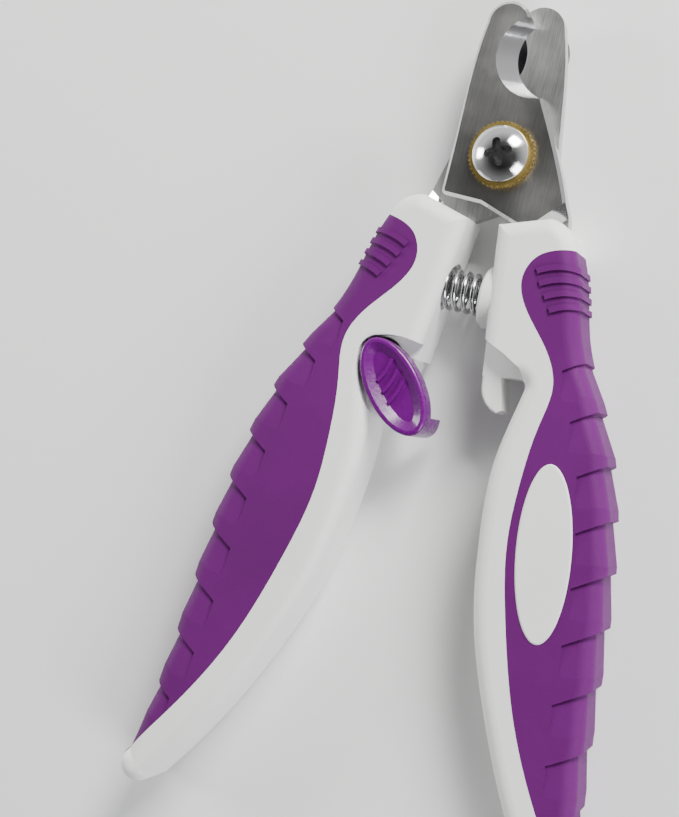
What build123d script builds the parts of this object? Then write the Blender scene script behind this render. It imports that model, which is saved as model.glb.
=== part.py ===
from build123d import *
import os
from functools import cache
from math import asin, cos, degrees, radians, sin

# Nail clipper, millimetres. It lies on its back: +Z out of its front face, +Y from the handles to the tips.
# Outlines are drawn for the right half with the jaws closed, about the pivot. The left half is mirrored.

# pose at rest
OPEN = 7.0                  # each half is turned open by this angle
LEAN = 4.5                  # both blades are set this much to the left of their handles

# blades
BLADE_T = 3.0               # thickness of a blade
RUB = 0.04                  # half of the play between the two blades
EDGE_CHAMFER = 0.55
NOTCH = (8.85, 17.2)        # centre of the nail notch at its cutting edge
NOTCH_R = 7.4
NOTCH_RAKE = 1.1            # how far the notch leans outwards for each millimetre of thickness
BEND_R = 13.3               # distance from the pivot at which a tang bends to the middle of its handle
BEND_L = 2.4
TANG_DIR = -57.0            # direction in which a tang leaves the pivot
TANG_PINS = ((9.9, -18.2), (10.5, -27.5))
TANG_PIN_R = 1.5
TANG_PIN_L = 8.6

# pivot stack, from the dome to the nut
SHANK_R = 2.5
BUSH_R = 3.6
RUN = 0.05                  # running clearance on a radius, and between faces that turn on each other
DOME_R = 5.0
DOME_H = 2.7
DOME_SIDE = 0.6             # height of the dome's straight side
RING_R = 5.9
RING_T = 1.0
TEETH = 44
TOOTH_R = 0.28
GUARD_T = 0.9
GUARD_R = 5.6
GUARD_SHIFT = 0.3           # how far the disc stands to the right of its arm
GUARD_HUB_R = 4.6
GUARD_REACH = 19.65
WASHER_R = 4.4
WASHER_T = 0.45
NUT_AF = 8.0
NUT_T = 1.9

# handles
HALF = 6.7                  # half of a handle's thickness
EDGE_R = 2.8                # rounding of the long edges
INNER_X = 1.3               # inner face of a handle's head
HEAD_Y = -12.3              # top of a handle
UNDER_Y = -38.6             # underside of a handle's head
SKIN = 2.0                  # thickness of a soft grip over its core
RIDGE_H = 0.4
RIDGE_W = 1.0
RIDGES = ((9.5, -20.2), (10.2, -22.3), (11.3, -24.5), (12.4, -26.7))
PAD_DEPTH = 0.85            # depth of a finger pad at its top; it runs out at its foot
PAD_H = 6.2
PADS = ((15.8, -36.6), (18.2, -45.0), (20.4, -54.0), (21.3, -63.4), (21.6, -72.6), (21.2, -82.2),
        (20.8, -92.2), (20.9, -102.4), (22.4, -112.0))
INLAY = (16.4, -67.6)       # centre of the oval inlay
INLAY_SIZE = (4.8, 15.2)
INLAY_TILT = 2.0
INLAY_T = 1.3

# spring, along X
SPRING_Y = -24.8            # its place along the handles
COIL_R = 3.3
WIRE_R = 0.48
TURNS = 8
CUP_DEPTH = 4.1
CUP_WALL = 0.5
BOSS_R = 5.6
BOSS_H = 1.9

# hook on the right handle
HOOK_X = (1.3, 4.5)         # outer and inner side
HOOK_Y = -44.9              # tip
HOOK_Z = (-2.4, 3.2)

# lock lever in the left handle
PIN = (7.6, -40.2)
PIN_R = 1.2
LEVER_DIR = -41.9           # its direction from the pin
LEVER_SIZE = (9.5, 4.9)     # half length and half width
LEVER_MID = 6.2             # distance from the pin to the middle
LEVER_SWING = 30.0
LEVER_Z = (-2.4, 3.6, 7.0)  # bottom of the catch, bottom and top of the thumb plate
HUB_R = 3.2
CATCH_X = 6.8               # where the deep part of the lever starts, from the pin
POCKET_R = (8.4, 14.2)      # inner and outer radius of the pocket that takes the hook
DISH_DEPTH = 0.9
LEDGE_R = 5.0
LEDGE_Z = 0.4
GAP = 0.45                  # play around the lever

# place of the pivot in the row frame
PIVOT = (0.0, 49.12, HALF)


def side_plane(side, z=0.0, lean=0.0):
    """Drawing plane of a half, at a height from the mating plane. side is 1 for right and -1 for left."""
    turn = radians(OPEN + side * lean)
    origin = (PIVOT[0], PIVOT[1], PIVOT[2] + z)
    return Plane(origin=origin, x_dir=(side * cos(turn), sin(turn), 0), z_dir=(0, 0, side))


def level(z):
    """Plane parallel to the floor, about the pivot."""
    return Plane((PIVOT[0], PIVOT[1], PIVOT[2] + z))


def finish(part, name):
    """Labels a sub-part and writes its STEP file."""
    part.label = name
    export_step(part, f"parts/{name}.step")


# ---- blades

def blade_outline(plane):
    """Flat outline of a blade and its tang, before the notch is ground."""
    with BuildSketch(plane) as outline:
        with BuildLine():
            edge = Spline((-9.4, 0.5), (-7.4, 10.2), (-5.7, 18.0), (-3.8, 24.0))
            tip = ThreePointArc(edge @ 1, (0.4, 27.4), (4.2, 23.6))
            throat = Line(tip @ 1, (6.9, 9.3))
            back = Spline(throat @ 1, (8.4, 4.4), (9.9, -1.0), (11.9, -10.8))
            tang = Polyline(back @ 1, (11.9, -17.0), (12.8, -31.0), (8.6, -31.0), (8.3, -19.6), (4.4, -13.2))
            Polyline(tang @ 1, (-3.6, -8.3), (-10.9, -6.4), edge @ 0)
        make_face()
        fillet(outline.vertices().sort_by_distance(Vector(-10.9, -6.4))[0], 0.9)
    return outline.sketch


def blade_tang(side):
    """Part of a blade beyond the bend: it slants back and runs on along the middle of the handle."""
    base = side_plane(side, 0, LEAN)
    along = base.x_dir * cos(radians(TANG_DIR)) + base.y_dir * sin(radians(TANG_DIR))
    profile = Plane(origin=base.origin, x_dir=along, z_dir=along.cross(base.z_dir))
    bent, half = BEND_R + BEND_L, BLADE_T / 2
    with BuildPart() as tang:
        extrude(to_extrude=blade_outline(base), amount=BLADE_T + 1, both=True)
        with BuildSketch(profile):
            Polygon((BEND_R, RUB), (bent, -half), (60, -half), (60, half), (bent, half), (BEND_R, BLADE_T),
                    align=None)
        extrude(amount=50, both=True, mode=Mode.INTERSECT)
    return tang.part


def make_blade(side, name, bore_r):
    """One blade: chamfered plate, tang, slanted notch, bore and the holes for the tang pins."""
    base = side_plane(side, 0, LEAN)
    tang = blade_tang(side)
    along = base.x_dir * cos(radians(TANG_DIR)) + base.y_dir * sin(radians(TANG_DIR))
    with BuildPart() as blade:
        extrude(to_extrude=blade_outline(base.offset(RUB)), amount=BLADE_T - RUB)
        chamfer(blade.faces().sort_by(Axis(base.origin, base.z_dir))[-1].edges(), EDGE_CHAMFER)
        split(bisect_by=Plane(origin=base.origin + along * BEND_R, z_dir=along), keep=Keep.BOTTOM)
        add(tang)
        with BuildSketch(base.offset(-1)):
            with Locations((NOTCH[0] + NOTCH_RAKE, NOTCH[1])):
                Circle(NOTCH_R)
        slant = base.z_dir - base.x_dir * NOTCH_RAKE
        extrude(amount=slant.length * (BLADE_T + 2), dir=slant, mode=Mode.SUBTRACT)
        with BuildSketch(base):
            Circle(bore_r)
            with Locations(*TANG_PINS):
                Circle(TANG_PIN_R)
        extrude(amount=2 * BLADE_T, both=True, mode=Mode.SUBTRACT)
    finish(blade.part, name)
    return blade.part


def make_tang_pins(side, name):
    """Two pins through the tang, moulded into the handle."""
    with BuildPart() as pins:
        with BuildSketch(side_plane(side, 0, LEAN)):
            with Locations(*TANG_PINS):
                Circle(TANG_PIN_R)
        extrude(amount=TANG_PIN_L / 2, both=True)
    finish(pins.part, name)
    return pins.part


# ---- pivot

def make_pivot_screw():
    """Domed cross-head screw that holds the stack together."""
    top, cap = BLADE_T + RING_T, DOME_H - DOME_SIDE
    ball = (DOME_R ** 2 + cap ** 2) / (2 * cap)
    rise = degrees(asin(1 - cap / ball))
    with BuildPart() as screw:
        with BuildSketch(Plane(PIVOT, x_dir=(1, 0, 0), z_dir=(0, -1, 0))) as profile:
            with BuildLine():
                Polyline((0, top + DOME_H), (0, -HALF + 0.1), (SHANK_R, -HALF + 0.1), (SHANK_R, top),
                         (DOME_R, top), (DOME_R, top + DOME_SIDE))
                CenterArc((0, top + DOME_H - ball), ball, 90, -90 + rise)
            make_face()
            fillet(profile.vertices().sort_by_distance(Vector(DOME_R, top + DOME_SIDE))[0], 0.4)
        revolve(axis=Axis((PIVOT[0], PIVOT[1], 0), (0, 0, 1)))
        with BuildSketch(level(top + DOME_H)):
            with PolarLocations(0, 2, start_angle=20, angular_range=90, endpoint=True):
                SlotOverall(5.2, 1.5)
        extrude(amount=-2.0, taper=8, mode=Mode.SUBTRACT)
    finish(screw.part, "pivot_screw")


def make_knurled_ring():
    """Thin brass ring with a toothed rim under the screw's head."""
    with BuildPart() as ring:
        with BuildSketch(level(BLADE_T)):
            Circle(RING_R)
            Circle(SHANK_R, mode=Mode.SUBTRACT)
            with PolarLocations(RING_R, TEETH):
                Circle(TOOTH_R, mode=Mode.SUBTRACT)
        extrude(amount=RING_T)
    finish(ring.part, "knurled_ring")


def make_rear_bush():
    """Bush pressed into the rear blade, which turns on the screw's shank."""
    with BuildPart() as bush:
        with BuildSketch(level(-RUB)):
            Circle(BUSH_R)
            Circle(SHANK_R + RUN, mode=Mode.SUBTRACT)
        extrude(amount=-(BLADE_T - RUB))
    finish(bush.part, "rear_bush")


def make_guard_plate():
    """Thin arm with a round disc behind the notches, which stops the nail from going in too far."""
    with BuildPart() as guard:
        with BuildSketch(level(-BLADE_T - RUN)):
            with BuildLine():
                CenterArc((0, 0), GUARD_HUB_R, 0, 360)
                CenterArc((0, GUARD_REACH - 4), GUARD_HUB_R * 0.62, 0, 360)
            make_hull()
            with Locations((GUARD_SHIFT, GUARD_REACH)):
                Circle(GUARD_R)
            Circle(SHANK_R + RUN, mode=Mode.SUBTRACT)
        extrude(amount=-GUARD_T)
    finish(guard.part, "guard_plate")


def make_washer_and_nut():
    """Spring washer and lock nut behind the guard."""
    washer_z = -BLADE_T - 2 * RUN - GUARD_T
    with BuildPart() as washer:
        with BuildSketch(level(washer_z)):
            Circle(WASHER_R)
            Circle(SHANK_R, mode=Mode.SUBTRACT)
        extrude(amount=-WASHER_T)
    finish(washer.part, "spring_washer")
    with BuildPart() as nut:
        with BuildSketch(level(washer_z - WASHER_T)):
            RegularPolygon(NUT_AF / 2, 6, major_radius=False)
            Circle(SHANK_R, mode=Mode.SUBTRACT)
        extrude(amount=-NUT_T)
        chamfer(nut.faces().sort_by(Axis.Z)[0].outer_wire().edges(), 0.35)
    finish(nut.part, "lock_nut")


# ---- handles

def handle_outline(plane, grow=0.0):
    """Outline of a whole handle, grown by an amount."""
    with BuildSketch(plane) as outline:
        with BuildLine():
            top = Line((INNER_X, HEAD_Y), (10.4, -10.7))
            shoulder = ThreePointArc(top @ 1, (13.4, -12.2), (15.2, -15.4))
            outer = Spline(shoulder @ 1, (17.0, -24.0), (18.6, -33.0), (22.4, -42.5), (25.4, -53.5),
                           (27.0, -66.0), (27.1, -85.0), (26.5, -105.0), (27.2, -124.0))
            end = ThreePointArc(outer @ 1, (25.2, -129.6), (21.8, -127.4))
            inner = Spline(end @ 1, (14.0, -111.0), (8.6, -95.0), (5.2, -80.0), (4.5, -66.0), (5.4, -53.5),
                           (8.6, -42.5), (9.8, UNDER_Y))
            Polyline(inner @ 1, (INNER_X, UNDER_Y), top @ 0)
        make_face()
        fillet(outline.vertices().sort_by_distance(Vector(9.8, UNDER_Y))[0], 1.4)
        if grow:
            offset(amount=grow, kind=Kind.INTERSECTION if grow > 0 else Kind.ARC)
    return plain_outline(outline.sketch_local.edges(), plane)


def plain_outline(edges, plane):
    """Outline through the given edges, with every curve that isn't an arc drawn as a spline."""
    with BuildSketch(plane) as outline:
        with BuildLine():
            for edge in edges:
                if edge.geom_type in (GeomType.LINE, GeomType.CIRCLE):
                    add(edge)
                else:
                    Spline([edge @ (step / 14) for step in range(15)], tangents=(edge % 0, edge % 1))
        make_face()
    return outline.sketch


@cache
def handle_solid(side, grow=0.0):
    """A whole handle with rounded edges, grown by an amount all over."""
    with BuildPart() as handle:
        extrude(to_extrude=handle_outline(side_plane(side), grow), amount=HALF + grow, both=True)
        rims = handle.edges().group_by(Axis.Z)
        fillet(rims[0] + rims[-1], EDGE_R + grow)
    return handle.part


@cache
def grip_region(side):
    """Block around the part of a handle that the soft grip covers."""
    with BuildPart() as region:
        with BuildSketch(side_plane(side)):
            with BuildLine():
                lobe = Spline((40.0, -16.3), (14.0, -16.2), (9.4, -17.6), (7.1, -21.5), (8.9, -27.6),
                              (12.6, -33.2), (14.6, -39.2), (13.1, -46.0), (11.0, -56.0), (10.0, -66.5),
                              (11.2, -79.0), (14.5, -95.3), (20.8, -111.8), (25.0, -120.2), (40.0, -150.0),
                              tangents=((-1, 0), (1, -2)))
                Line(lobe @ 1, lobe @ 0)
            make_face()
        extrude(amount=2 * HALF, both=True)
    return region.part


def make_grip(side, name, inlay):
    """Soft grip: a skin around the outer side, with raised ridges at the top and recessed finger pads."""
    ridges = band_solid(side, handle_solid(side, RIDGE_H), ridge_lines(side))
    pads = [pad_recess(side, x, y) for x, y in PADS]
    with BuildPart() as grip:
        add(handle_solid(side))
        add(grip_region(side), mode=Mode.INTERSECT)
        for pad in pads:
            add(pad, mode=Mode.SUBTRACT)
        add(ridges)
        add(handle_solid(side, -SKIN), mode=Mode.SUBTRACT)
        if inlay:
            add(inlay, mode=Mode.SUBTRACT)
    finish(grip.part, name)
    return grip.part


def ridge_lines(side):
    """Footprint of the curved ridges near the top of a grip."""
    with BuildSketch(side_plane(side)) as lines:
        for x, y in RIDGES:
            with BuildLine() as line:
                ThreePointArc((x, y), (x + 4.6, y + 1.0), (x + 10.0, y - 0.2))
            trace(line_width=RIDGE_W)
    return lines.sketch


def band_solid(side, body, footprint):
    """What a footprint cuts out of a body, down to the handle's flat back."""
    with BuildPart() as band:
        extrude(to_extrude=footprint, amount=side * HALF * 2)
        extrude(to_extrude=footprint, amount=-side * HALF)
        add(body, mode=Mode.INTERSECT)
    return band.part


def outer_x(y):
    """How far out a handle's outer edge is at a place along the handle."""
    edge = handle_outline(Plane.XY).edges().sort_by(SortBy.LENGTH)[-1]
    return min((edge @ (step / 300) for step in range(301)), key=lambda point: abs(point.Y - y)).X


def pad_block(side, y):
    """Tapered block that stays behind a pad: narrow at the pad's top, full width at its foot."""
    sections = ((y + 4.6, PAD_DEPTH * 1.25), (y - PAD_H + 0.2, -0.1))
    with BuildPart() as block:
        for at, inset in sections:
            base = side_plane(side)
            middle = base.from_local_coords(Vector(outer_x(at) - inset - 8.0, at))
            with BuildSketch(Plane(origin=middle, x_dir=base.x_dir, z_dir=base.y_dir)):
                RectangleRounded(16.0, 2 * (HALF - inset * 0.75), EDGE_R - 0.2)
        loft()
    return block.part


def pad_recess(side, x, y):
    """Recess of one finger pad, with a slanted top."""
    block = pad_block(side, y)
    with BuildPart() as pad:
        with BuildSketch(side_plane(side)):
            with BuildLine():
                Polyline((x, y), (x + 9.0, y + 4.5), (x + 9.0, y - PAD_H + 1.6), (x + 0.8, y - PAD_H + 0.4),
                         (x, y - PAD_H + 2.4), close=True)
            make_face()
        extrude(amount=2 * HALF, both=True)
        add(block, mode=Mode.SUBTRACT)
    return pad.part


def make_inlay():
    """Oval inlay in the front of the right grip."""
    with BuildPart() as inlay:
        with BuildSketch(side_plane(1, HALF - INLAY_T)):
            with Locations(Location((INLAY[0], INLAY[1], 0), (0, 0, INLAY_TILT))):
                Ellipse(*INLAY_SIZE)
        extrude(amount=INLAY_T + 0.25)
        fillet(inlay.edges().group_by(Axis.Z)[-1], 0.4)
    finish(inlay.part, "oval_inlay")
    return inlay.part


def make_core(side, name, cuts, extras):
    """Hard core of a handle: all that the grip leaves, with an inner tongue under the grip."""
    with BuildPart() as shell:
        add(grip_region(side))
        add(handle_solid(side, -SKIN), mode=Mode.SUBTRACT)
    with BuildPart() as core:
        add(handle_solid(side))
        add(shell.part, mode=Mode.SUBTRACT)
        for extra in extras:
            add(extra)
        for cut in cuts:
            add(cut, mode=Mode.SUBTRACT)
    finish(core.part, name)
    return core.part


# ---- spring between the handles, along X

def spring_point(side):
    """Middle of the spring's seat on the inner face of a handle."""
    return side_plane(side).from_local_coords(Vector(INNER_X, SPRING_Y))


def spring_plane(x, side):
    """Plane across the spring at a distance from the middle, facing away from the middle."""
    y = spring_point(1).Y
    return Plane((PIVOT[0] + side * x, y, PIVOT[2]), x_dir=(0, side, 0), z_dir=(side, 0, 0))


def cup_hole(side):
    """Hole in a core for the sleeve of a spring cup."""
    face = abs(spring_point(side).X - PIVOT[0])
    with BuildPart() as hole:
        with BuildSketch(spring_plane(face - 3, side)):
            Circle(COIL_R + WIRE_R + 0.3 + CUP_WALL)
        extrude(amount=3 + cup_floor(side) - face + CUP_WALL)
    return hole.part


def cup_floor(side):
    """Distance of a cup's floor from the middle."""
    face = abs(spring_point(side).X - PIVOT[0])
    return face + CUP_DEPTH - (BOSS_H if side > 0 else 0)


def make_spring_cup(side, name):
    """Sleeve with a floor that holds one end of the spring. The right one has a rim that stands proud."""
    face = abs(spring_point(side).X - PIVOT[0])
    bore = COIL_R + WIRE_R + 0.3
    with BuildPart() as cup:
        if side > 0:
            with BuildSketch(spring_plane(face - BOSS_H, side)):
                Circle(BOSS_R)
            extrude(amount=BOSS_H + 1)
            chamfer(cup.edges().sort_by(Axis.X)[0], 0.5)
            add(handle_solid(side), mode=Mode.SUBTRACT)
        with BuildSketch(spring_plane(face - BOSS_H if side > 0 else face, side)):
            Circle(bore + CUP_WALL)
        extrude(amount=cup_floor(side) + CUP_WALL - face + (BOSS_H if side > 0 else 0))
        if side < 0:
            add(handle_solid(side), mode=Mode.INTERSECT)
        with BuildSketch(spring_plane(face - BOSS_H - 2, side)):
            Circle(bore)
        extrude(amount=cup_floor(side) - face + BOSS_H + 2, mode=Mode.SUBTRACT)
    finish(cup.part, name)


def make_spring():
    """Compression spring, from floor to floor of the two cups."""
    start, end = -cup_floor(-1) + WIRE_R + 0.1, cup_floor(1) - WIRE_R - 0.1
    y = spring_point(1).Y
    with BuildPart() as spring:
        with BuildLine() as coil:
            Helix(pitch=(end - start) / TURNS, height=end - start, radius=COIL_R,
                  center=(PIVOT[0] + start, y, PIVOT[2]), direction=(1, 0, 0))
        with BuildSketch(Plane(origin=coil.line @ 0, z_dir=coil.line % 0)):
            Circle(WIRE_R)
        sweep()
    finish(spring.part, "spring")


# ---- hook and lock lever

def hook_solid():
    """Hook that hangs from the right handle's head."""
    outer, inner = HOOK_X
    with BuildPart() as hook:
        with BuildSketch(side_plane(1, HOOK_Z[0])):
            with BuildLine():
                side = Line((outer, -33.5), (outer, -40.5))
                toe = ThreePointArc(side @ 1, (outer + 1.0, -43.4), (outer + 3.0, HOOK_Y))
                Polyline(toe @ 1, (inner + 0.9, HOOK_Y + 0.6), (inner, -38.0), (inner, -33.5), side @ 0)
            make_face()
        extrude(amount=HOOK_Z[1] - HOOK_Z[0])
        fillet(hook.edges().group_by(Axis.Z)[-1].filter_by(GeomType.CIRCLE), 0.5)
    return hook.part


def undercut():
    """Step in the front of the right head, where it falls back to the hook's face."""
    with BuildPart() as step:
        with BuildSketch(side_plane(1, HOOK_Z[1])):
            with BuildLine():
                Polyline((-1.0, -31.0), (INNER_X, -32.2), (5.5, -34.7), (8.4, -36.9), (9.2, -38.7),
                         (-1.0, -38.7), close=True)
            make_face()
        extrude(amount=HALF)
    return step.part


def lever_plane(z, turn=0.0):
    """Plane of the lock lever, about its pin, with X along the lever, turned by an angle from rest."""
    pin = side_plane(-1).from_local_coords(Vector(*PIN))
    angle = radians(LEVER_DIR - OPEN + turn)
    return Plane((pin.X, pin.Y, PIVOT[2] + z), x_dir=(cos(angle), sin(angle), 0), z_dir=(0, 0, 1))


def ledge():
    """Ledge of the left handle that carries the lever's pin."""
    with BuildPart() as disc:
        with BuildSketch(lever_plane(-HALF + 1.2)):
            Circle(LEDGE_R)
        extrude(amount=HALF - 1.2 + LEDGE_Z)
    return disc.part


def lever_room():
    """Space in the left handle that the lever swings through, and the hole for its pin."""
    with BuildPart() as room:
        with BuildSketch(lever_plane(LEDGE_Z)):
            Circle(HUB_R + GAP)
        extrude(amount=HALF)
        for turn in range(-8, int(LEVER_SWING) + 5, 6):
            with BuildSketch(lever_plane(LEVER_Z[1] - 0.4, turn)):
                with Locations((LEVER_MID, 0)):
                    Ellipse(LEVER_SIZE[0] + GAP, LEVER_SIZE[1] + GAP)
            extrude(amount=HALF)
    return room.part


def make_lever_pin():
    """Pin of the lock lever."""
    with BuildPart() as pin:
        with BuildSketch(lever_plane(-HALF + 2.2)):
            Circle(PIN_R)
        extrude(amount=HALF - 2.2 + LEVER_Z[1] - 0.4)
    finish(pin.part, "lever_pin")
    return pin.part


def make_lock_lever():
    """Thumb lever with a dished, ridged plate and a deep catch whose pocket takes the hook."""
    _, middle, top = LEVER_Z
    with BuildPart() as lever:
        with BuildSketch(lever_plane(middle)):
            with Locations((LEVER_MID, 0)):
                Ellipse(*LEVER_SIZE)
        extrude(amount=top - middle)
        fillet(lever.edges().group_by(Axis.Z)[-1], 0.6)
        for z, inset in ((top - DISH_DEPTH, 2.6), (top + 0.01, 0.9)):
            with BuildSketch(lever_plane(z)):
                with Locations((LEVER_MID, 0)):
                    Ellipse(LEVER_SIZE[0] - inset, LEVER_SIZE[1] - inset)
        loft(mode=Mode.SUBTRACT)
        with BuildSketch(lever_plane(top - DISH_DEPTH - 0.1)):
            for x in (2.9, 5.1, 7.3):
                with BuildLine():
                    ThreePointArc((x + 1.1, -2.1), (x + 0.3, 0), (x - 1.1, 2.1))
                trace(line_width=0.6)
        extrude(amount=0.6)
        with BuildSketch(lever_plane(LEDGE_Z + 0.3)):
            Circle(HUB_R)
        extrude(amount=middle - LEDGE_Z - 0.2)
        add(lever_catch())
        with BuildSketch(lever_plane(0)):
            Circle(PIN_R + RUN)
        extrude(amount=middle - 0.1, mode=Mode.SUBTRACT)
    finish(lever.part, "lock_lever")


def lever_catch():
    """Deep end of the lever, open at its upper side and hollowed for the hook."""
    low, middle, _ = LEVER_Z
    with BuildPart() as catch:
        with BuildSketch(lever_plane(low)):
            with Locations((LEVER_MID, 0)):
                Ellipse(*LEVER_SIZE)
            with Locations((CATCH_X, 0)):
                Rectangle(40, 40, align=(Align.MIN, Align.CENTER), mode=Mode.INTERSECT)
        extrude(amount=middle - low + 0.1)
        add(lever_pocket(), mode=Mode.SUBTRACT)
    return catch.part


def lever_pocket():
    """Path of the hook through the lever, about the pin."""
    low, middle, _ = LEVER_Z
    near, far = POCKET_R
    with BuildPart() as pocket:
        with BuildSketch(lever_plane(low - 1)):
            Circle(far)
            with Locations(Location((0, 0, 0), (0, 0, -11.0))):
                Rectangle(40, 20, align=(Align.CENTER, Align.MIN), mode=Mode.INTERSECT)
            with Locations((0, 1.2)):
                Rectangle(2 * near, 20, align=(Align.CENTER, Align.MAX), mode=Mode.SUBTRACT)
        extrude(amount=middle - low + 1)
    return pocket.part


def make_handles(front_blade, rear_blade):
    """Cores and grips of both handles, with what is moulded or pressed into them."""
    inlay = make_inlay()
    right_pins = make_tang_pins(1, "right_tang_pins")
    left_pins = make_tang_pins(-1, "left_tang_pins")
    lever_pin = make_lever_pin()
    make_grip(1, "right_grip", inlay)
    make_grip(-1, "left_grip", None)
    right_cuts = [undercut(), cup_hole(1), front_blade, right_pins]
    left_cuts = [lever_room(), cup_hole(-1), rear_blade, left_pins, lever_pin]
    make_core(1, "right_handle_core", right_cuts, [hook_solid()])
    make_core(-1, "left_handle_core", left_cuts, [ledge()])


def main():
    os.makedirs("parts", exist_ok=True)
    front_blade = make_blade(1, "front_blade", SHANK_R)
    rear_blade = make_blade(-1, "rear_blade", BUSH_R)
    make_pivot_screw()
    make_knurled_ring()
    make_rear_bush()
    make_guard_plate()
    make_washer_and_nut()
    make_handles(front_blade, rear_blade)
    make_spring_cup(1, "right_spring_cup")
    make_spring_cup(-1, "left_spring_cup")
    make_spring()
    make_lock_lever()


if __name__ == "__main__":
    main()
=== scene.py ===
from math import radians

import bmesh
import bpy
from mathutils import Matrix, Vector


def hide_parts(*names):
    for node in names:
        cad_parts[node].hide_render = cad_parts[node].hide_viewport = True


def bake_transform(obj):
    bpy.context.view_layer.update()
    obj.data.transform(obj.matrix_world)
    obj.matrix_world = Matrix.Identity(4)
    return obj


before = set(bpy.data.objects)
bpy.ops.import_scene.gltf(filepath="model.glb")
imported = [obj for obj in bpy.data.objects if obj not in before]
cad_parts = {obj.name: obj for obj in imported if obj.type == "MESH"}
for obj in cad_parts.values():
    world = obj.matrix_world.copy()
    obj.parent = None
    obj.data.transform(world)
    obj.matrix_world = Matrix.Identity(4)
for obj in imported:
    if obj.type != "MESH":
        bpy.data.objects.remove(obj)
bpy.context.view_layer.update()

bl_info = {
    "name": "Nail clipper looks",
    "version": (1, 0, 0),
    "blender": (4, 5, 0),
    "location": "View3D > Sidebar > Clipper",
    "description": "Finishes the steel, plastic and soft-grip pieces of a pet nail clipper",
    "category": "Object",
}

BLADES = ("front_blade", "rear_blade")
BRIGHT_PIECES = ("pivot_screw",)
ZINC_PIECES = ("spring_washer", "lock_nut", "lever_pin", "right_tang_pins", "left_tang_pins")
BRASS_PIECES = ("knurled_ring", "rear_bush")
WHITE_PIECES = ("right_handle_core", "left_handle_core", "oval_inlay", "right_spring_cup", "left_spring_cup")
GRIPS = ("right_grip", "left_grip")
PIVOT = Vector((0.0, 0.04912, 0.0067))     # centre of the pivot screw

EDGE_STEEL = (0.50, 0.50, 0.51)            # ground chamfers and notch walls
EDGE_ROUGHNESS = 0.12
ROUGHNESS_SPREAD = 0.1                     # how far handling marks dull a metal
PLASTIC_SPREAD = 0.12
REAR_HIGHLIGHT_GAIN = 1.9                            # painted highlight: how much paler the rear blade's steel is made than the front one's, standing in for the brighter reflection on it
FLOOR_GREY = 0.93
FLOOR_DROP = 0.0002                        # gap between the clipper's back and the floor
WORLD_STRENGTH = 0.9
SENSOR_WIDTH = 36.0

# name, place, side of the square, watts, colour
LAMPS = (
    ("key", (0.25, 0.60, 0.42), 0.30, 11.0, (1.0, 0.99, 0.97)),
    ("fill", (0.60, -0.30, 0.38), 0.35, 4.5, (0.97, 0.98, 1.0)),
    ("left", (-0.70, 0.05, 0.25), 0.25, 3.0, (1.0, 1.0, 1.0)),
)

# the camera's turns about its own Z, X and Y, and the pivot's place as the camera sees it
CAMERA_ROLL, CAMERA_TILT, CAMERA_YAW = -0.2367745, 0.0248453, -0.3509331
CAMERA_REACH = (0.029372, 0.044002, -0.26455)


# ---- node groups shared by several finishes

def new_group(name, inputs, outputs):
    """An empty shader node group with float or vector inputs and float outputs."""
    group = bpy.data.node_groups.new(name, "ShaderNodeTree")
    for label, kind, value in inputs:
        socket = group.interface.new_socket(label, in_out="INPUT", socket_type=kind)
        socket.default_value = value
    for label, kind in outputs:
        group.interface.new_socket(label, in_out="OUTPUT", socket_type=kind)
    return group, group.nodes.new("NodeGroupInput"), group.nodes.new("NodeGroupOutput")


def add_node(tree, kind, **settings):
    """A new node with some of its settings given."""
    made = tree.nodes.new(kind)
    for name, value in settings.items():
        setattr(made, name, value)
    return made


def fill(made, **values):
    """Sets inputs of a node by name; an underscore stands for a space."""
    for name, value in values.items():
        made.inputs[name.replace("_", " ")].default_value = value
    return made


def grain_group():
    """Long fine scratches in one direction, as a grinding wheel or a brush leaves them."""
    group, given, result = new_group(
        "Brushed Grain",
        [
            ("Direction", "NodeSocketVector", (0.0, 0.0, 0.0)),
            ("Stretch", "NodeSocketVector", (9000.0, 300.0, 300.0)),
            ("Contrast", "NodeSocketFloat", 0.5),
        ],
        [("Streaks", "NodeSocketFloat")],
    )
    place = add_node(group, "ShaderNodeTexCoord")
    turn = add_node(group, "ShaderNodeMapping", vector_type="POINT")
    fine = fill(add_node(group, "ShaderNodeTexNoise"), Scale=1.0, Detail=3.0, Roughness=0.65)
    spread = add_node(group, "ShaderNodeMapRange")
    fill(spread, From_Min=0.3, From_Max=0.7)
    mix = add_node(group, "ShaderNodeMath", operation="MULTIPLY")
    group.links.new(place.outputs["Object"], turn.inputs["Vector"])
    group.links.new(given.outputs["Direction"], turn.inputs["Rotation"])
    group.links.new(given.outputs["Stretch"], turn.inputs["Scale"])
    group.links.new(turn.outputs["Vector"], fine.inputs["Vector"])
    group.links.new(fine.outputs["Fac"], spread.inputs["Value"])
    group.links.new(spread.outputs["Result"], mix.inputs[0])
    group.links.new(given.outputs["Contrast"], mix.inputs[1])
    group.links.new(mix.outputs["Value"], result.inputs["Streaks"])
    return group


def smudge_group():
    """Soft uneven patches, such as handling marks and mould flow, with a fine speckle over them."""
    group, given, result = new_group(
        "Handling Marks",
        [("Patch Scale", "NodeSocketFloat", 90.0), ("Speckle Scale", "NodeSocketFloat", 2500.0)],
        [("Patches", "NodeSocketFloat"), ("Speckle", "NodeSocketFloat")],
    )
    place = add_node(group, "ShaderNodeTexCoord")
    for source, label in (("Patch Scale", "Patches"), ("Speckle Scale", "Speckle")):
        cloud = fill(add_node(group, "ShaderNodeTexNoise"), Detail=4.0, Roughness=0.6)
        spread = fill(add_node(group, "ShaderNodeMapRange"), From_Min=0.35, From_Max=0.65)
        group.links.new(place.outputs["Object"], cloud.inputs["Vector"])
        group.links.new(given.outputs[source], cloud.inputs["Scale"])
        group.links.new(cloud.outputs["Fac"], spread.inputs["Value"])
        group.links.new(spread.outputs["Result"], result.inputs[label])
    return group


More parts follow.
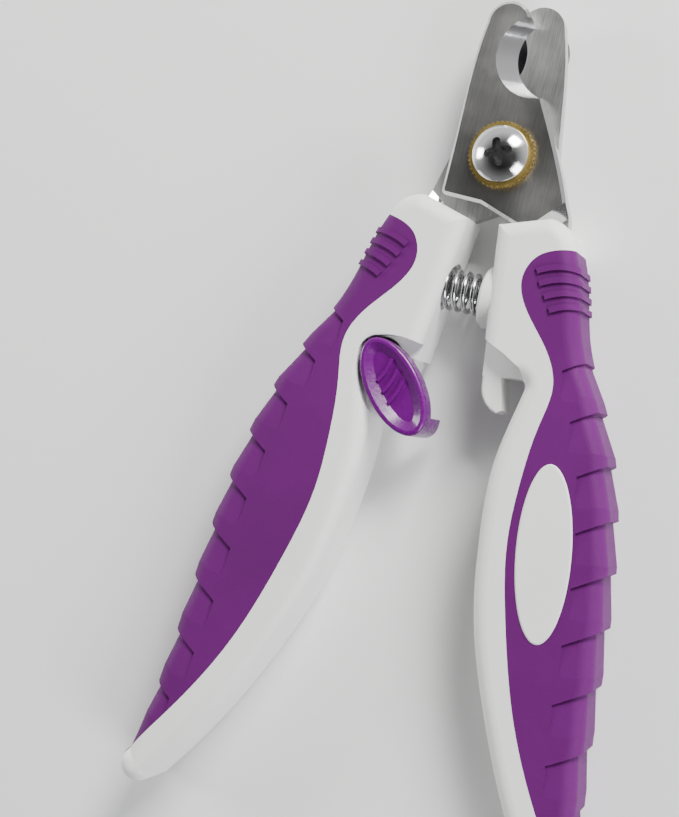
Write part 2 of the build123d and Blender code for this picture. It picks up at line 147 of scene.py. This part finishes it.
def flat_group():
    """Mask of surfaces that face straight up or down: a blade's faces, but not its ground edges."""
    group, given, result = new_group(
        "Flat Faces", [("Sharpness", "NodeSocketFloat", 0.96)], [("Flat", "NodeSocketFloat")]
    )
    place = add_node(group, "ShaderNodeTexCoord")
    split = add_node(group, "ShaderNodeSeparateXYZ")
    size = add_node(group, "ShaderNodeMath", operation="ABSOLUTE")
    edge = add_node(group, "ShaderNodeMapRange")
    fill(edge, From_Max=0.995)
    group.links.new(place.outputs["Normal"], split.inputs["Vector"])
    group.links.new(split.outputs["Z"], size.inputs[0])
    group.links.new(size.outputs["Value"], edge.inputs["Value"])
    group.links.new(given.outputs["Sharpness"], edge.inputs["From Min"])
    group.links.new(edge.outputs["Result"], result.inputs["Flat"])
    return group


def shared_group(name):
    """One of the shared node groups, built the first time that it is asked for."""
    makers = {"Brushed Grain": grain_group, "Handling Marks": smudge_group, "Flat Faces": flat_group}
    return bpy.data.node_groups.get(name) or makers[name]()


def place_group(tree, name, **values):
    """A shared group placed in a material with its own values."""
    made = add_node(tree, "ShaderNodeGroup", node_tree=shared_group(name))
    return fill(made, **values)


# ---- materials

def new_material(name):
    """A material with an empty Principled BSDF."""
    made = bpy.data.materials.new(name)
    made.use_nodes = True
    return made, made.node_tree, made.node_tree.nodes["Principled BSDF"]


def blend_colours(tree, factor, first, second):
    """Mix of two colours by a socket."""
    mix = add_node(tree, "ShaderNodeMix", data_type="RGBA")
    tree.links.new(factor, mix.inputs[0])
    for socket, colour in ((mix.inputs[6], first), (mix.inputs[7], second)):
        if hasattr(colour, "links"):
            tree.links.new(colour, socket)
        else:
            socket.default_value = (*colour, 1.0)
    return mix.outputs[2]


def blend_values(tree, factor, low, high):
    """Value that runs from low to high with a socket."""
    spread = fill(add_node(tree, "ShaderNodeMapRange"), To_Min=low, To_Max=high)
    tree.links.new(factor, spread.inputs["Value"])
    return spread.outputs["Result"]


def add_bump(tree, shader, height, depth, strength):
    """Bump on a shader from a height socket."""
    bump = fill(add_node(tree, "ShaderNodeBump"), Distance=depth, Strength=strength)
    tree.links.new(height, bump.inputs["Height"])
    tree.links.new(bump.outputs["Normal"], shader.inputs["Normal"])


def ground_steel(name, colour, direction, grain, roughness):
    """Satin stainless with grinding lines on the faces and polished chamfers and notch walls."""
    made, tree, shader = new_material(name)
    long_lines = (7000.0, 180.0, 180.0)
    streaks = place_group(tree, "Brushed Grain", Direction=direction, Stretch=long_lines, Contrast=1.0)
    flat = place_group(tree, "Flat Faces")
    marks = place_group(tree, "Handling Marks", Patch_Scale=70.0, Speckle_Scale=3000.0)
    dark = tuple(part * (1.0 - grain) for part in colour)
    face = blend_colours(tree, streaks.outputs["Streaks"], dark, colour)
    tree.links.new(blend_colours(tree, flat.outputs["Flat"], EDGE_STEEL, face), shader.inputs["Base Color"])
    worn = blend_values(tree, marks.outputs["Patches"], roughness, roughness + ROUGHNESS_SPREAD)
    soft = add_node(tree, "ShaderNodeMix", data_type="FLOAT")
    tree.links.new(flat.outputs["Flat"], soft.inputs[0])
    soft.inputs[2].default_value = EDGE_ROUGHNESS
    tree.links.new(worn, soft.inputs[3])
    tree.links.new(soft.outputs[0], shader.inputs["Roughness"])
    lines = add_node(tree, "ShaderNodeMath", operation="MULTIPLY")
    tree.links.new(streaks.outputs["Streaks"], lines.inputs[0])
    tree.links.new(flat.outputs["Flat"], lines.inputs[1])
    add_bump(tree, shader, lines.outputs["Value"], 0.00002, 0.5)
    shader.inputs["Metallic"].default_value = 1.0
    shader.inputs["Anisotropic"].default_value = 0.4
    return made


def plain_metal(name, colour, roughness, wear):
    """Polished or plated metal with faint smudges and small pits."""
    made, tree, shader = new_material(name)
    marks = place_group(tree, "Handling Marks", Patch_Scale=400.0, Speckle_Scale=6000.0)
    dull = tuple(part * (1.0 - wear) for part in colour)
    tree.links.new(blend_colours(tree, marks.outputs["Patches"], colour, dull), shader.inputs["Base Color"])
    uneven = blend_values(tree, marks.outputs["Patches"], roughness, roughness + ROUGHNESS_SPREAD)
    tree.links.new(uneven, shader.inputs["Roughness"])
    add_bump(tree, shader, marks.outputs["Speckle"], 0.00001, 0.3)
    shader.inputs["Metallic"].default_value = 1.0
    return made


def drawn_wire(name, colour):
    """Bright drawn spring wire with fine lines along it."""
    made, tree, shader = new_material(name)
    streaks = place_group(tree, "Brushed Grain", Stretch=(400.0, 5000.0, 5000.0), Contrast=1.0)
    dark = tuple(part * 0.85 for part in colour)
    tone = blend_colours(tree, streaks.outputs["Streaks"], dark, colour)
    tree.links.new(tone, shader.inputs["Base Color"])
    tree.links.new(blend_values(tree, streaks.outputs["Streaks"], 0.12, 0.24), shader.inputs["Roughness"])
    shader.inputs["Metallic"].default_value = 1.0
    return made


def moulded_plastic(name, colour, roughness, texture, patch_contrast, gloss, coat):
    """Moulded plastic or rubber: faint flow marks, fine surface texture and uneven gloss."""
    made, tree, shader = new_material(name)
    marks = place_group(tree, "Handling Marks", Patch_Scale=55.0, Speckle_Scale=texture)
    deep = tuple(part * (1.0 - patch_contrast) for part in colour)
    tree.links.new(blend_colours(tree, marks.outputs["Patches"], colour, deep), shader.inputs["Base Color"])
    uneven = blend_values(tree, marks.outputs["Speckle"], roughness, roughness + PLASTIC_SPREAD)
    tree.links.new(uneven, shader.inputs["Roughness"])
    add_bump(tree, shader, marks.outputs["Speckle"], 0.00003, 0.35)
    shader.inputs["Specular IOR Level"].default_value = gloss
    shader.inputs["Coat Weight"].default_value = coat
    shader.inputs["Coat Roughness"].default_value = 0.08
    return made


def dress(names, material):
    """Puts a material on CAD nodes."""
    for name in names:
        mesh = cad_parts[name].data
        mesh.materials.clear()
        mesh.materials.append(material)


# ---- settings

def colour_setting(name, description, default):
    """A colour that a user can change."""
    return bpy.props.FloatVectorProperty(
        name=name, description=description, default=default, subtype="COLOR", size=3, min=0.0, max=1.0
    )


class ClipperColours(bpy.types.PropertyGroup):
    """Colours of the clipper."""

    blade: colour_setting("Blade", "Satin steel of the blades", (0.46, 0.46, 0.455))
    white: colour_setting("Handle", "Hard plastic of the handles", (0.88, 0.89, 0.87))
    grip: colour_setting("Grip", "Soft grips", (0.11, 0.006, 0.125))
    lever: colour_setting("Lever", "Lock lever", (0.12, 0.0, 0.155))
    brass: colour_setting("Brass", "Knurled ring and bush", (0.95, 0.70, 0.22))


class ClipperStage(bpy.types.PropertyGroup):
    """Light and floor."""

    brightness: bpy.props.FloatProperty(
        name="Brightness", description="Strength of all lamps against their usual one", default=1.0, min=0.0
    )
    floor_size: bpy.props.FloatProperty(
        name="Floor", description="Side of the floor", default=3.0, unit="LENGTH", min=0.5
    )
    lens: bpy.props.FloatProperty(
        name="Lens",
        description="Focal length of the camera",
        default=66.1,
        subtype="DISTANCE_CAMERA",
        min=10.0,
    )


# ---- operators

class CLIPPER_OT_steel(bpy.types.Operator):
    """Ground blades, polished screw and plated small parts"""

    bl_idname = "clipper.steel"
    bl_label = "Finish Steel"

    def execute(self, context):
        blade = tuple(context.scene.clipper_colours.blade)
        front = ground_steel("Ground Steel Front", blade, (0.0, 0.0, radians(100.0)), 0.25, 0.30)
        # painted highlight: the rear blade is the same steel as the front one, brightened to stand in for
        # the brighter reflection on it
        highlight_tinted = tuple(min(1.0, part * REAR_HIGHLIGHT_GAIN) for part in blade)
        rear = ground_steel("Ground Steel Rear Painted Highlight", highlight_tinted, (0.0, 0.0, radians(35.0)), 0.4, 0.36)
        dress(BLADES[:1], front)
        dress(BLADES[1:], rear)
        dress(BRIGHT_PIECES, plain_metal("Polished Steel", (0.72, 0.72, 0.73), 0.07, 0.06))
        dress(ZINC_PIECES, plain_metal("Zinc Plate", (0.66, 0.67, 0.70), 0.28, 0.15))
        # painted shade: the guard plate's steel is made near-black to stand in for the shadow and dark
        # reflections it sits in, not for a blackened finish
        dress(("guard_plate",), plain_metal("Steel Darkened As Painted Shade", (0.10, 0.10, 0.11), 0.30, 0.3))
        return {"FINISHED"}


class CLIPPER_OT_spring(bpy.types.Operator):
    """Wire spring between the two handles, a smooth copy of the CAD spring with its doubled vertices merged
    """

    bl_idname = "clipper.spring"
    bl_label = "Build Spring"

    def execute(self, context):
        shape = bmesh.new()
        shape.from_mesh(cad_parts["spring"].data)
        bmesh.ops.remove_doubles(shape, verts=shape.verts, dist=1e-6)
        for face in shape.faces:
            face.smooth = True
        mesh = bpy.data.meshes.new("coil_spring")
        shape.to_mesh(mesh)
        shape.free()
        mesh.materials.clear()
        mesh.materials.append(drawn_wire("Spring Wire", (0.60, 0.60, 0.61)))
        coil = bpy.data.objects.new("coil_spring", mesh)
        context.scene.collection.objects.link(coil)
        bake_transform(coil)
        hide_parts("spring")
        return {"FINISHED"}


class CLIPPER_OT_brass(bpy.types.Operator):
    """Polished brass of the knurled ring and the bush"""

    bl_idname = "clipper.brass"
    bl_label = "Finish Brass"

    def execute(self, context):
        brass = tuple(context.scene.clipper_colours.brass)
        dress(BRASS_PIECES, plain_metal("Polished Brass", brass, 0.30, 0.2))
        return {"FINISHED"}


class CLIPPER_OT_plastic(bpy.types.Operator):
    """Hard white plastic, matte soft grips and the glossy lever"""

    bl_idname = "clipper.plastic"
    bl_label = "Finish Plastic"

    def execute(self, context):
        colours = context.scene.clipper_colours
        white = moulded_plastic("White Plastic", tuple(colours.white), 0.38, 2500.0, 0.03, 0.4, 0.0)
        grip = moulded_plastic("Soft Grip", tuple(colours.grip), 0.55, 3500.0, 0.12, 0.2, 0.0)
        lever = moulded_plastic("Lever Plastic", tuple(colours.lever), 0.22, 1200.0, 0.02, 0.4, 0.2)
        dress(WHITE_PIECES, white)
        dress(GRIPS, grip)
        dress(("lock_lever",), lever)
        return {"FINISHED"}


def soft_lamp(name, place, target, size, power, colour):
    """A square area lamp that faces a point."""
    lamp = bpy.data.lights.new(name, "AREA")
    lamp.energy, lamp.size, lamp.color = power, size, colour
    made = bpy.data.objects.new(name, lamp)
    bpy.context.scene.collection.objects.link(made)
    facing = (target - place).to_track_quat("-Z", "Y").to_matrix().to_4x4()
    made.matrix_world = Matrix.Translation(place) @ facing


def light_the_room(tree, strength):
    """Room light that is brighter low down and towards the tips, so that steel has something to mirror."""
    sky = tree.nodes["Background"]
    place = add_node(tree, "ShaderNodeTexCoord")
    split = add_node(tree, "ShaderNodeSeparateXYZ")
    height = fill(add_node(tree, "ShaderNodeMapRange"), From_Min=0.3, From_Max=0.8, To_Min=1.0, To_Max=0.08)
    tree.links.new(place.outputs["Generated"], split.inputs["Vector"])
    ahead = fill(add_node(tree, "ShaderNodeMapRange"), From_Min=-0.6, From_Max=0.4, To_Min=0.3, To_Max=1.0)
    both = add_node(tree, "ShaderNodeMath", operation="MULTIPLY")
    tree.links.new(split.outputs["Z"], height.inputs["Value"])
    tree.links.new(split.outputs["Y"], ahead.inputs["Value"])
    tree.links.new(height.outputs["Result"], both.inputs[0])
    tree.links.new(ahead.outputs["Result"], both.inputs[1])
    tree.links.new(both.outputs["Value"], sky.inputs["Color"])
    sky.inputs["Strength"].default_value = strength


def make_floor(side):
    """Plain pale floor with a slight unevenness in its gloss."""
    shape = bmesh.new()
    bmesh.ops.create_grid(shape, x_segments=1, y_segments=1, size=side / 2)
    bmesh.ops.translate(shape, verts=shape.verts, vec=(0.0, 0.0, -FLOOR_DROP))
    mesh = bpy.data.meshes.new("floor")
    shape.to_mesh(mesh)
    shape.free()
    floor = bpy.data.objects.new("floor", mesh)
    bpy.context.scene.collection.objects.link(floor)
    made, tree, shader = new_material("Pale Floor")
    marks = place_group(tree, "Handling Marks", Patch_Scale=4.0, Speckle_Scale=200.0)
    tree.links.new(blend_values(tree, marks.outputs["Patches"], 0.55, 0.62), shader.inputs["Roughness"])
    shader.inputs["Base Color"].default_value = (FLOOR_GREY, FLOOR_GREY, FLOOR_GREY, 1.0)
    mesh.materials.append(made)


def make_camera(lens):
    """Camera above the clipper, in a slightly turned close view."""
    turn = (
        Matrix.Rotation(CAMERA_ROLL, 3, "Z")
        @ Matrix.Rotation(CAMERA_TILT, 3, "X")
        @ Matrix.Rotation(CAMERA_YAW, 3, "Y")
    )
    data = bpy.data.cameras.new("camera")
    data.lens, data.sensor_width, data.clip_start = lens, SENSOR_WIDTH, 0.01
    camera = bpy.data.objects.new("camera", data)
    bpy.context.scene.collection.objects.link(camera)
    back = turn.transposed()
    camera.matrix_world = Matrix.Translation(PIVOT - back @ Vector(CAMERA_REACH)) @ back.to_4x4()
    bpy.context.scene.camera = camera


class CLIPPER_OT_stage(bpy.types.Operator):
    """Pale floor, soft lamps and the camera"""

    bl_idname = "clipper.stage"
    bl_label = "Build Stage"

    def execute(self, context):
        settings = context.scene.clipper_stage
        make_floor(settings.floor_size)
        target = Vector((0.0, 0.0, 0.0))
        for name, place, size, power, colour in LAMPS:
            soft_lamp(name, Vector(place), target, size, power * settings.brightness, colour)
        world = context.scene.world or bpy.data.worlds.new("studio")
        context.scene.world = world
        world.use_nodes = True
        light_the_room(world.node_tree, WORLD_STRENGTH * settings.brightness)
        make_camera(settings.lens)
        return {"FINISHED"}


class CLIPPER_PT_panel(bpy.types.Panel):
    """Colours and steps of the clipper's looks"""

    bl_idname = "CLIPPER_PT_panel"
    bl_label = "Nail Clipper"
    bl_space_type = "VIEW_3D"
    bl_region_type = "UI"
    bl_category = "Clipper"

    def draw(self, context):
        layout = self.layout
        for group in (context.scene.clipper_colours, context.scene.clipper_stage):
            for name in group.bl_rna.properties.keys():
                if name not in {"rna_type", "name"}:
                    layout.prop(group, name)
        for operator in OPERATORS:
            layout.operator(operator.bl_idname)


OPERATORS = (CLIPPER_OT_steel, CLIPPER_OT_spring, CLIPPER_OT_brass, CLIPPER_OT_plastic, CLIPPER_OT_stage)
CLASSES = (ClipperColours, ClipperStage, *OPERATORS, CLIPPER_PT_panel)


def register():
    for each in CLASSES:
        bpy.utils.register_class(each)
    bpy.types.Scene.clipper_colours = bpy.props.PointerProperty(type=ClipperColours)
    bpy.types.Scene.clipper_stage = bpy.props.PointerProperty(type=ClipperStage)


def unregister():
    del bpy.types.Scene.clipper_stage
    del bpy.types.Scene.clipper_colours
    for each in reversed(CLASSES):
        bpy.utils.unregister_class(each)


def main():
    register()
    bpy.ops.clipper.steel()
    bpy.ops.clipper.spring()
    bpy.ops.clipper.brass()
    bpy.ops.clipper.plastic()
    bpy.ops.clipper.stage()


if __name__ == "__main__":
    main()
